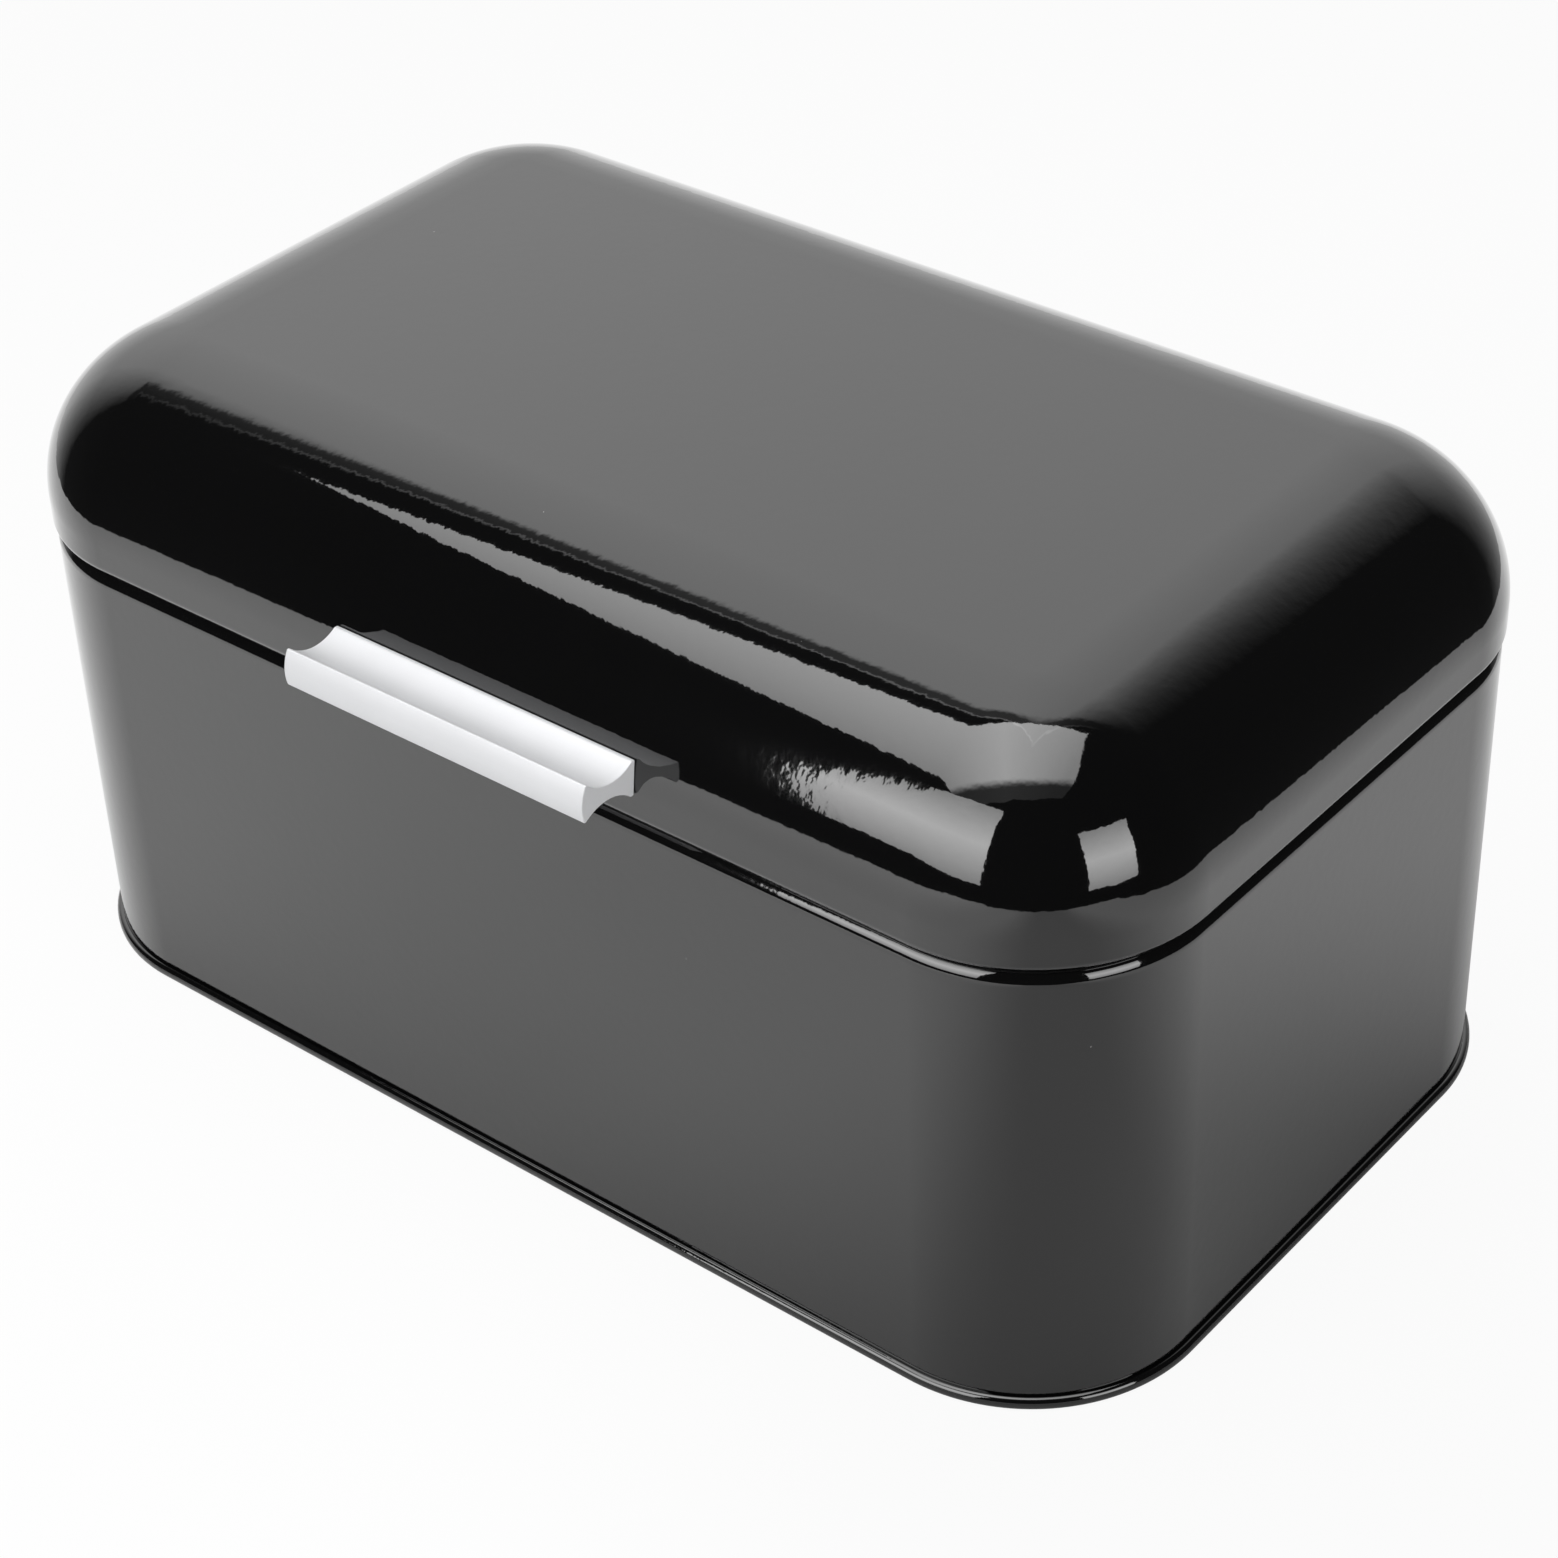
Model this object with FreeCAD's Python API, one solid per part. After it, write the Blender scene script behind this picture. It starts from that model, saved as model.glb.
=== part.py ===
import FreeCAD, Part
import math
import os

# Gloss enamelled sheet-steel bread box with a domed lid that hinges at the back and an aluminium pull.
# Frame: +X runs right along the long front, +Y to the back, +Z up. Sizes are in millimetres.
# The origin is the centre of the footprint, on the surface that the box stands on.

# Driving dimensions of the box
BODY_LENGTH = 300.0
BODY_WIDTH = 180.0
CORNER_RADIUS = 40.0
TOTAL_HEIGHT = 153.8
LID_EDGE_HEIGHT = 111.9
WALL_GAUGE = 0.6
LID_GAUGE = 0.7

# Base seam: the base plate's rim folds round a hook on the wall's lower edge
RIM_OVERHANG = 1.5
RIM_HEIGHT = 3.0
RIM_TOP_RADIUS = 1.35
RIM_FOOT_RADIUS = 1.35
PANEL_HEIGHT = 2.5
SEAM_CLEARANCE = 0.05
HOOK_THICKNESS = 0.5
HOOK_BEND_RADIUS = 0.5
HOOK_PLAY = 0.3

# Shoulder and neck at the wall's upper edge
SHOULDER_RADIUS = 3.6
LID_SEAT_GAP = 0.3
NECK_INSET = 4.5
NECK_HEIGHT = 9.6
NECK_HEM_THICKNESS = 1.4
NECK_HEM_HEIGHT = 4.0

# Lid section: a short upright skirt, a quarter ellipse, and a flat top
LID_OVERHANG = 0.6
SKIRT_HEIGHT = 7.1
DOME_REACH = 38.0
LID_FLANGE_WIDTH = 3.4
LID_EDGE_RADIUS = 2.0

# Pull handle: one extruded section with a cove above and below
HANDLE_LENGTH = 80.6
HANDLE_OFFSET = 4.2
HANDLE_SEAT_Z = 122.9
HANDLE_DEPTH = 14.4
HANDLE_BACK_HEIGHT = 8.0
HANDLE_LIP_HEIGHT = 8.2
HANDLE_WAIST = 3.5
HANDLE_FRONT_BULGE = 0.9
HANDLE_BACK_FLAT = 0.9
HANDLE_LIP_FLAT = 0.5
HANDLE_SEAT_GAP = 0.05

# M3 screws from inside the lid into the handle
SCREW_SPACING = 50.0
SCREW_RADIUS = 1.5
SCREW_ENGAGEMENT = 5.0
SCREW_HEAD_RADIUS = 2.8
SCREW_HEAD_HEIGHT = 1.8
SCREW_HEAD_ROUND = 0.8
SCREW_SLOT_WIDTH = 0.8
SCREW_SLOT_DEPTH = 0.8
THREAD_CLEARANCE = 0.02
SCREW_HOLE_RADIUS = 1.7
WASHER_RADIUS = 3.5
WASHER_THICKNESS = 0.5
WASHER_SEAT_GAP = 0.25
TAPPED_HOLE_SPARE = 0.6

# Butt hinges on the back, with a tongue on the lid leaf that stops the lid when it is open
HINGE_SPACING = 150.0
HINGE_WIDTH = 38.0
LEAF_THICKNESS = 1.2
LEAF_CORNER_RADIUS = 3.0
KNUCKLE_RADIUS = 2.8
KNUCKLE_GAP = 0.3
CENTRE_KNUCKLE_WIDTH = 13.0
HINGE_PIN_RADIUS = 1.5
PIN_RUNNING_CLEARANCE = 0.06
PIN_HEAD_RADIUS = 2.3
PIN_HEAD_LENGTH = 1.0
HINGE_AXIS_DROP = 0.2
KNUCKLE_CLEARANCE = 0.5
BODY_LEAF_HEIGHT = 15.0
LID_LEAF_HEIGHT = 7.4
OPEN_ANGLE = 100.0
STOP_REACH = 5.6
STOP_GAP = 0.3

# Hinge rivets
RIVET_RADIUS = 1.5
RIVET_SPACING = 24.0
RIVET_HEAD_RADIUS = 3.0
RIVET_HEAD_HEIGHT = 1.5
RIVET_TAIL_RADIUS = 2.4
RIVET_TAIL_HEIGHT = 0.9
RIVET_TAIL_CHAMFER = 0.4
BODY_RIVET_Z = 100.0
LID_RIVET_Z = 118.6
LID_RIVET_SLACK = 0.1

# Values worked out from the driving dimensions
HALF_LENGTH = BODY_LENGTH / 2
HALF_WIDTH = BODY_WIDTH / 2
CORNER_X = HALF_LENGTH - CORNER_RADIUS
CORNER_Y = HALF_WIDTH - CORNER_RADIUS
LEDGE_Z = LID_EDGE_HEIGHT - LID_SEAT_GAP
SHOULDER_Z = LEDGE_Z - SHOULDER_RADIUS
NECK_TOP_Z = LEDGE_Z + NECK_HEIGHT
LID_RADIUS = CORNER_RADIUS + LID_OVERHANG
DOME_FOOT_Z = LID_EDGE_HEIGHT + SKIRT_HEIGHT
DOME_RISE = TOTAL_HEIGHT - DOME_FOOT_Z
RIM_UNDER_Z = RIM_HEIGHT - WALL_GAUGE
PANEL_LOW_Z = PANEL_HEIGHT - WALL_GAUGE
BODY_BACK_Y = HALF_WIDTH
LID_BACK_Y = HALF_WIDTH + LID_OVERHANG
HINGE_AXIS_Y = LID_BACK_Y + KNUCKLE_RADIUS
HINGE_AXIS_Z = LID_EDGE_HEIGHT - HINGE_AXIS_DROP

UP = FreeCAD.Vector(0, 0, 1)
ALONG_X = FreeCAD.Vector(1, 0, 0)
TO_BACK = FreeCAD.Vector(0, 1, 0)
CENTRE = FreeCAD.Vector(0, 0, 0)
SAME_PLACE = 1e-6


def section_point(out, up):
    """A point of a section drawn in the XZ plane: out is measured from a corner's axis."""
    return FreeCAD.Vector(out, 0, up)


def section_face(first, steps):
    """A closed face from a first point and steps. A point means a straight edge; an edge stays as it is."""
    edges = []
    here = section_point(*first)
    for step in steps:
        if isinstance(step, tuple):
            there = section_point(*step)
            edges.append(Part.LineSegment(here, there).toShape())
        else:
            edges.append(step)
            there = step.lastVertex(True).Point
        here = there
    edges.append(Part.LineSegment(here, section_point(*first)).toShape())
    return Part.Face(Part.Wire(edges))


def arc(start, middle, end):
    """An arc edge through three section points."""
    return Part.Arc(section_point(*start), section_point(*middle), section_point(*end)).toShape()


def quarter_bend(start, end, centre, radius):
    """A quarter-circle edge between two section points about a centre."""
    toward = [(start[i] + end[i]) / 2 - centre[i] for i in (0, 1)]
    size = math.hypot(*toward)
    middle = tuple(centre[i] + toward[i] / size * radius for i in (0, 1))
    return arc(start, middle, end)


def cap(radius, low, high):
    """The arc of a round cap, from its rim up to the middle of its top."""
    rise = high - low
    sphere = (radius * radius + rise * rise) / (2 * rise)
    half_angle = math.asin(radius / sphere) / 2
    middle = (sphere * math.sin(half_angle), high - sphere + sphere * math.cos(half_angle))
    return arc((radius, low), middle, (0, high))


def dome_curve(reach, rise, start_up):
    """The quarter ellipse of the lid, from the skirt up to the flat top, or down where start_up is false."""
    centre = section_point(LID_RADIUS - DOME_REACH, DOME_FOOT_Z)
    across = centre + FreeCAD.Vector(reach, 0, 0)
    above = centre + FreeCAD.Vector(0, 0, rise)
    edge = Part.ArcOfEllipse(Part.Ellipse(across, above, centre), 0, math.pi / 2).toShape()
    return edge if start_up else edge.reversed()


def corner_centres():
    """The four corner axes in turn, each with the angle at which its quarter turn starts."""
    signs = ((1, 1), (-1, 1), (-1, -1), (1, -1))
    return [(FreeCAD.Vector(sx * CORNER_X, sy * CORNER_Y, 0), 90 * i) for i, (sx, sy) in enumerate(signs)]


def carry_round(section):
    """Carries a section round the rounded plan: a quarter turn at each corner, and straight between."""
    corners = corner_centres()
    pieces = []
    for i, (centre, angle) in enumerate(corners):
        bend = section.revolve(CENTRE, UP, 90)
        bend.rotate(CENTRE, UP, angle)
        bend.translate(centre)
        pieces.append(bend)
        side = section.copy()
        side.rotate(CENTRE, UP, angle + 90)
        side.translate(centre)
        pieces.append(side.extrude(corners[(i + 1) % 4][0] - centre))
    return pieces


def middle_plate(low, high):
    """The flat rectangle between the four corner axes."""
    return Part.makeBox(2 * CORNER_X, 2 * CORNER_Y, high - low, FreeCAD.Vector(-CORNER_X, -CORNER_Y, low))


def joined(pieces):
    """One solid from pieces that meet face to face."""
    return pieces[0].multiFuse(pieces[1:]).removeSplitter()


def rod(radius, start, direction, length):
    """A round bar."""
    return Part.makeCylinder(radius, length, start, direction)


def turned(profile):
    """A solid turned about the Z axis from a profile of (radius, height) section steps."""
    return section_face(profile[0], profile[1:]).revolve(CENTRE, UP, 360)


def point_along(shape, origin, direction):
    """Moves a shape made along +Z so that its Z axis lies along a direction from an origin."""
    placed = shape.copy()
    turn = FreeCAD.Rotation(UP, direction)
    placed.Placement = FreeCAD.Placement(origin, turn).multiply(placed.Placement)
    return placed


def hinge_turn(shape, angle):
    """The shape turned about the hinge axis; a positive angle opens the lid."""
    moved = shape.copy()
    moved.rotate(FreeCAD.Vector(0, HINGE_AXIS_Y, HINGE_AXIS_Z), ALONG_X, -angle)
    return moved


def make_body_shell():
    """The wrapped wall: a hook at the foot, an upright wall, a rounded shoulder, and a hemmed neck."""
    outer = CORNER_RADIUS
    foot = WALL_GAUGE + SEAM_CLEARANCE
    hook_out = outer + RIM_OVERHANG - WALL_GAUGE - HOOK_PLAY
    hook_top = RIM_UNDER_Z - HOOK_PLAY
    hook_centre = (hook_out - HOOK_BEND_RADIUS, foot + HOOK_BEND_RADIUS)
    shoulder_in = outer - SHOULDER_RADIUS
    inner_bend = SHOULDER_RADIUS - WALL_GAUGE
    neck_out = outer - NECK_INSET
    hem_in = neck_out - NECK_HEM_THICKNESS
    hem_round = NECK_HEM_THICKNESS / 2
    hem_low = NECK_TOP_Z - NECK_HEM_HEIGHT
    bend_centre = (shoulder_in, SHOULDER_Z)
    wall_inside = (outer - WALL_GAUGE, SHOULDER_Z)
    section = section_face(
        (outer - WALL_GAUGE, foot),
        [
            (hook_centre[0], foot),
            quarter_bend((hook_centre[0], foot), (hook_out, hook_centre[1]), hook_centre, HOOK_BEND_RADIUS),
            (hook_out, hook_top),
            (hook_out - HOOK_THICKNESS, hook_top),
            (hook_out - HOOK_THICKNESS, foot + WALL_GAUGE),
            (outer, foot + WALL_GAUGE),
            (outer, SHOULDER_Z),
            quarter_bend((outer, SHOULDER_Z), (shoulder_in, LEDGE_Z), bend_centre, SHOULDER_RADIUS),
            (neck_out, LEDGE_Z),
            (neck_out, NECK_TOP_Z - hem_round),
            arc(
                (neck_out, NECK_TOP_Z - hem_round),
                (neck_out - hem_round, NECK_TOP_Z),
                (hem_in, NECK_TOP_Z - hem_round),
            ),
            (hem_in, hem_low),
            (neck_out - WALL_GAUGE, hem_low),
            (neck_out - WALL_GAUGE, LEDGE_Z - WALL_GAUGE),
            (shoulder_in, LEDGE_Z - WALL_GAUGE),
            quarter_bend((shoulder_in, LEDGE_Z - WALL_GAUGE), wall_inside, bend_centre, inner_bend),
        ],
    )
    shell = joined(carry_round(section))
    for hinge_x in hinge_places().values():
        for rivet_x in rivet_places(hinge_x):
            shell = shell.cut(rivet_hole(rivet_x, BODY_BACK_Y, BODY_RIVET_Z))
    return shell


def make_base_plate():
    """The pressed base: a raised panel, and a rim folded round the wall's hook."""
    outer = CORNER_RADIUS + RIM_OVERHANG
    pocket_out = outer - WALL_GAUGE
    upstand_out = CORNER_RADIUS - WALL_GAUGE - SEAM_CLEARANCE
    upstand_in = upstand_out - WALL_GAUGE
    lip_in = CORNER_RADIUS + SEAM_CLEARANCE
    foot_centre = (outer - RIM_FOOT_RADIUS, RIM_FOOT_RADIUS)
    top_centre = (outer - RIM_TOP_RADIUS, RIM_HEIGHT - RIM_TOP_RADIUS)
    inner_top = RIM_TOP_RADIUS - WALL_GAUGE
    inner_foot = RIM_FOOT_RADIUS - WALL_GAUGE
    section = section_face(
        (0, PANEL_LOW_Z),
        [
            (upstand_in, PANEL_LOW_Z),
            (upstand_in, 0),
            (foot_centre[0], 0),
            quarter_bend((foot_centre[0], 0), (outer, foot_centre[1]), foot_centre, RIM_FOOT_RADIUS),
            (outer, top_centre[1]),
            quarter_bend((outer, top_centre[1]), (top_centre[0], RIM_HEIGHT), top_centre, RIM_TOP_RADIUS),
            (lip_in, RIM_HEIGHT),
            (lip_in, RIM_UNDER_Z),
            (top_centre[0], RIM_UNDER_Z),
            quarter_bend((top_centre[0], RIM_UNDER_Z), (pocket_out, top_centre[1]), top_centre, inner_top),
            (pocket_out, foot_centre[1]),
            quarter_bend((pocket_out, foot_centre[1]), (foot_centre[0], WALL_GAUGE), foot_centre, inner_foot),
            (upstand_out, WALL_GAUGE),
            (upstand_out, PANEL_HEIGHT),
            (0, PANEL_HEIGHT),
        ],
    )
    return joined(carry_round(section) + [middle_plate(PANEL_LOW_Z, PANEL_HEIGHT)])


def make_lid_shell():
    """The drawn lid: an inturned flange, an upright skirt, an elliptical dome edge and a flat top."""
    inner = LID_RADIUS - LID_GAUGE
    flange_in = CORNER_RADIUS - LID_FLANGE_WIDTH
    flat_edge = LID_RADIUS - DOME_REACH
    low = LID_EDGE_HEIGHT
    flange_top = low + LID_GAUGE
    edge_centre = (LID_RADIUS - LID_EDGE_RADIUS, low + LID_EDGE_RADIUS)
    inner_edge = LID_EDGE_RADIUS - LID_GAUGE
    section = section_face(
        (flange_in, low),
        [
            (edge_centre[0], low),
            quarter_bend((edge_centre[0], low), (LID_RADIUS, edge_centre[1]), edge_centre, LID_EDGE_RADIUS),
            (LID_RADIUS, DOME_FOOT_Z),
            dome_curve(DOME_REACH, DOME_RISE, True),
            (0, TOTAL_HEIGHT),
            (0, TOTAL_HEIGHT - LID_GAUGE),
            (flat_edge, TOTAL_HEIGHT - LID_GAUGE),
            dome_curve(DOME_REACH - LID_GAUGE, DOME_RISE - LID_GAUGE, False),
            (inner, edge_centre[1]),
            quarter_bend((inner, edge_centre[1]), (edge_centre[0], flange_top), edge_centre, inner_edge),
            (flange_in, flange_top),
        ],
    )
    shell = joined(carry_round(section) + [middle_plate(TOTAL_HEIGHT - LID_GAUGE, TOTAL_HEIGHT)])
    seat, outward = handle_seat()
    for side in screw_places().values():
        start = FreeCAD.Vector(side, seat.y, seat.z) - outward * HANDLE_DEPTH
        shell = shell.cut(rod(SCREW_HOLE_RADIUS, start, outward, 2 * HANDLE_DEPTH))
    for hinge_x in hinge_places().values():
        for rivet_x in rivet_places(hinge_x):
            shell = shell.cut(rivet_hole(rivet_x, LID_BACK_Y, LID_RIVET_Z))
    return shell


def handle_seat():
    """Where the handle's back touches the lid's front, and the lid's outward direction there."""
    rise = (HANDLE_SEAT_Z - DOME_FOOT_Z) / DOME_RISE
    run = math.sqrt(1 - rise * rise)
    out = CORNER_Y + LID_RADIUS - DOME_REACH + DOME_REACH * run
    outward = FreeCAD.Vector(0, -run / DOME_REACH, rise / DOME_RISE)
    outward.normalize()
    return FreeCAD.Vector(0, -out, HANDLE_SEAT_Z), outward


def screw_places():
    """X of each handle screw, by side."""
    return {"left": HANDLE_OFFSET - SCREW_SPACING / 2, "right": HANDLE_OFFSET + SCREW_SPACING / 2}


def make_pull_handle():
    """The extruded handle: a flat back, a cove above and below for the fingers, and a bowed front lip."""
    back = HANDLE_BACK_HEIGHT / 2
    lip = HANDLE_LIP_HEIGHT / 2
    waist = HANDLE_WAIST / 2
    middle = HANDLE_DEPTH / 2
    lip_start = HANDLE_DEPTH - HANDLE_LIP_FLAT
    front = HANDLE_DEPTH + HANDLE_FRONT_BULGE
    section = section_face(
        (0, -back),
        [
            (HANDLE_BACK_FLAT, -back),
            arc((HANDLE_BACK_FLAT, -back), (middle, -waist), (lip_start, -lip)),
            (HANDLE_DEPTH, -lip),
            arc((HANDLE_DEPTH, -lip), (front, 0), (HANDLE_DEPTH, lip)),
            (lip_start, lip),
            arc((lip_start, lip), (middle, waist), (HANDLE_BACK_FLAT, back)),
            (0, back),
        ],
    )
    seat, outward = handle_seat()
    bar = section.extrude(FreeCAD.Vector(0, HANDLE_LENGTH, 0))
    bar.rotate(CENTRE, UP, -90)
    bar.translate(FreeCAD.Vector(HANDLE_OFFSET - HANDLE_LENGTH / 2, 0, 0))
    bar.rotate(CENTRE, ALONG_X, -math.degrees(math.atan2(outward.z, -outward.y)))
    bar.translate(seat + outward * HANDLE_SEAT_GAP)
    for side in screw_places().values():
        start = FreeCAD.Vector(side, seat.y, seat.z)
        bar = bar.cut(rod(SCREW_RADIUS, start, outward, SCREW_ENGAGEMENT + TAPPED_HOLE_SPARE))
    return bar


def screw_head_depth():
    """How far the screw head's seat, on the washer, lies behind the handle's seat."""
    return LID_GAUGE + WASHER_SEAT_GAP + WASHER_THICKNESS


def make_handle_screw(side_x):
    """A pan-head machine screw with a slotted head, driven outward through the lid."""
    seat, outward = handle_seat()
    shank_radius = SCREW_RADIUS - THREAD_CLEARANCE
    round_centre = (SCREW_HEAD_RADIUS - SCREW_HEAD_ROUND, SCREW_HEAD_ROUND)
    rim = (SCREW_HEAD_RADIUS, SCREW_HEAD_ROUND)
    tip = SCREW_HEAD_HEIGHT + screw_head_depth() + SCREW_ENGAGEMENT
    blank = turned(
        [
            (0, 0),
            (round_centre[0], 0),
            quarter_bend((round_centre[0], 0), rim, round_centre, SCREW_HEAD_ROUND),
            (SCREW_HEAD_RADIUS, SCREW_HEAD_HEIGHT),
            (shank_radius, SCREW_HEAD_HEIGHT),
            (shank_radius, tip),
            (0, tip),
        ]
    )
    slot = Part.makeBox(
        2 * SCREW_HEAD_RADIUS,
        SCREW_SLOT_WIDTH,
        SCREW_SLOT_DEPTH,
        FreeCAD.Vector(-SCREW_HEAD_RADIUS, -SCREW_SLOT_WIDTH / 2, 0),
    )
    start = FreeCAD.Vector(side_x, seat.y, seat.z) - outward * (screw_head_depth() + SCREW_HEAD_HEIGHT)
    return point_along(blank.cut(slot), start, outward)


def make_handle_washer(side_x):
    """A plain washer between the screw's head and the inside of the lid."""
    seat, outward = handle_seat()
    start = FreeCAD.Vector(side_x, seat.y, seat.z) - outward * screw_head_depth()
    disc = rod(WASHER_RADIUS, start, outward, WASHER_THICKNESS)
    return disc.cut(rod(SCREW_HOLE_RADIUS, start, outward, WASHER_THICKNESS))


def hinge_places():
    """X of each hinge's middle, by side."""
    return {"left": -HINGE_SPACING / 2, "right": HINGE_SPACING / 2}


def rivet_places(hinge_x):
    """X of the two rivets in one leaf of a hinge."""
    return hinge_x - RIVET_SPACING / 2, hinge_x + RIVET_SPACING / 2


def rivet_hole(rivet_x, wall_y, height):
    """The bar that clears a rivet's shank through a wall and the leaf outside it."""
    reach = 2 * RIVET_HEAD_RADIUS
    return rod(RIVET_RADIUS, FreeCAD.Vector(rivet_x, wall_y - reach, height), TO_BACK, 2 * reach)


def leaf_plate(hinge_x, wall_y, low, high, round_low):
    """A leaf's flat plate against a wall, with its two free corners rounded."""
    corner = FreeCAD.Vector(hinge_x - HINGE_WIDTH / 2, wall_y, low)
    plate = Part.makeBox(HINGE_WIDTH, LEAF_THICKNESS, high - low, corner)
    free_z = low if round_low else high
    free_edges = [e for e in plate.Edges if all(abs(v.Z - free_z) < SAME_PLACE for v in e.Vertexes)]
    corners = [e for e in free_edges if abs(e.Vertexes[0].Y - e.Vertexes[1].Y) > SAME_PLACE]
    return plate.makeFillet(LEAF_CORNER_RADIUS, corners)


def knuckle(low_x, high_x, wall_y, plate_edge_z):
    """A rolled barrel on the hinge axis, and the strip of leaf that leads to it."""
    start = FreeCAD.Vector(low_x, HINGE_AXIS_Y, HINGE_AXIS_Z)
    barrel = rod(KNUCKLE_RADIUS, start, ALONG_X, high_x - low_x)
    strip_low = min(plate_edge_z, HINGE_AXIS_Z)
    strip_high = max(plate_edge_z, HINGE_AXIS_Z)
    strip = Part.makeBox(
        high_x - low_x, LEAF_THICKNESS, strip_high - strip_low, FreeCAD.Vector(low_x, wall_y, strip_low)
    )
    return barrel.fuse(strip)


def pin_bore(hinge_x, radius):
    """The bar that clears the hinge pin along a whole hinge."""
    start = FreeCAD.Vector(hinge_x - HINGE_WIDTH, HINGE_AXIS_Y, HINGE_AXIS_Z)
    return rod(radius, start, ALONG_X, 2 * HINGE_WIDTH)


def finished_leaf(pieces, hinge_x, bore_radius, wall_y, rivet_z):
    """A leaf's pieces joined, bored for the pin and drilled for its rivets."""
    leaf = joined(pieces).cut(pin_bore(hinge_x, bore_radius))
    for rivet_x in rivet_places(hinge_x):
        leaf = leaf.cut(rivet_hole(rivet_x, wall_y, rivet_z))
    return leaf.removeSplitter()


def make_body_leaf(hinge_x):
    """The leaf on the box's back: a plate below, and the two outer knuckles that grip the pin."""
    plate_high = HINGE_AXIS_Z - KNUCKLE_RADIUS - KNUCKLE_CLEARANCE
    pieces = [leaf_plate(hinge_x, BODY_BACK_Y, plate_high - BODY_LEAF_HEIGHT, plate_high, True)]
    inner = CENTRE_KNUCKLE_WIDTH / 2 + KNUCKLE_GAP
    for low, high in ((-HINGE_WIDTH / 2, -inner), (inner, HINGE_WIDTH / 2)):
        pieces.append(knuckle(hinge_x + low, hinge_x + high, BODY_BACK_Y, plate_high))
    return finished_leaf(pieces, hinge_x, HINGE_PIN_RADIUS, BODY_BACK_Y, BODY_RIVET_Z)


def make_lid_leaf(hinge_x):
    """The leaf on the lid's back: a plate, the middle knuckle that runs on the pin, and the stop tongue."""
    plate_low = HINGE_AXIS_Z + KNUCKLE_RADIUS + KNUCKLE_CLEARANCE
    low_x = hinge_x - CENTRE_KNUCKLE_WIDTH / 2
    tongue_open = Part.makeBox(
        CENTRE_KNUCKLE_WIDTH,
        LEAF_THICKNESS,
        STOP_REACH,
        FreeCAD.Vector(low_x, BODY_BACK_Y + LEAF_THICKNESS + STOP_GAP, HINGE_AXIS_Z - STOP_REACH),
    )
    pieces = [
        leaf_plate(hinge_x, LID_BACK_Y, plate_low, plate_low + LID_LEAF_HEIGHT, False),
        knuckle(low_x, low_x + CENTRE_KNUCKLE_WIDTH, LID_BACK_Y, plate_low),
        hinge_turn(tongue_open, -OPEN_ANGLE),
    ]
    bore = HINGE_PIN_RADIUS + PIN_RUNNING_CLEARANCE
    return finished_leaf(pieces, hinge_x, bore, LID_BACK_Y, LID_RIVET_Z)


def make_hinge_pin(hinge_x):
    """The headed pin, gripped by the outer knuckles."""
    half = HINGE_WIDTH / 2
    shank_start = FreeCAD.Vector(hinge_x - half, HINGE_AXIS_Y, HINGE_AXIS_Z)
    pieces = [rod(HINGE_PIN_RADIUS, shank_start, ALONG_X, HINGE_WIDTH)]
    for end_x in (hinge_x - half - PIN_HEAD_LENGTH, hinge_x + half):
        start = FreeCAD.Vector(end_x, HINGE_AXIS_Y, HINGE_AXIS_Z)
        pieces.append(rod(PIN_HEAD_RADIUS, start, ALONG_X, PIN_HEAD_LENGTH))
    return joined(pieces)


def make_rivet(rivet_x, wall_y, wall_gauge, height):
    """A domed rivet through a leaf and the wall behind it, with its closed tail inside."""
    head_low = RIVET_TAIL_HEIGHT + wall_gauge + LEAF_THICKNESS
    rivet = turned(
        [
            (0, 0),
            (RIVET_TAIL_RADIUS - RIVET_TAIL_CHAMFER, 0),
            (RIVET_TAIL_RADIUS, RIVET_TAIL_CHAMFER),
            (RIVET_TAIL_RADIUS, RIVET_TAIL_HEIGHT),
            (RIVET_RADIUS, RIVET_TAIL_HEIGHT),
            (RIVET_RADIUS, head_low),
            (RIVET_HEAD_RADIUS, head_low),
            cap(RIVET_HEAD_RADIUS, head_low, head_low + RIVET_HEAD_HEIGHT),
        ]
    )
    start = FreeCAD.Vector(rivet_x, wall_y - wall_gauge - RIVET_TAIL_HEIGHT, height)
    return point_along(rivet, start, TO_BACK)


def make_hinge_nodes(side, hinge_x):
    """Every piece of one hinge, by node name."""
    name = "hinge_" + side
    nodes = {
        name + "_body_leaf": make_body_leaf(hinge_x),
        name + "_lid_leaf": make_lid_leaf(hinge_x),
        name + "_pin": make_hinge_pin(hinge_x),
    }
    lid_grip = LID_GAUGE + LID_RIVET_SLACK
    for count, rivet_x in enumerate(rivet_places(hinge_x), start=1):
        nodes[f"{name}_body_rivet_{count}"] = make_rivet(rivet_x, BODY_BACK_Y, WALL_GAUGE, BODY_RIVET_Z)
        nodes[f"{name}_lid_rivet_{count}"] = make_rivet(rivet_x, LID_BACK_Y, lid_grip, LID_RIVET_Z)
    return nodes


def make_nodes():
    """Every piece of the box, by node name."""
    nodes = {
        "body_shell": make_body_shell(),
        "base_plate": make_base_plate(),
        "lid_shell": make_lid_shell(),
        "pull_handle": make_pull_handle(),
    }
    for side, side_x in screw_places().items():
        nodes["handle_screw_" + side] = make_handle_screw(side_x)
        nodes["handle_washer_" + side] = make_handle_washer(side_x)
    for side, hinge_x in hinge_places().items():
        nodes.update(make_hinge_nodes(side, hinge_x))
    return nodes


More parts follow.
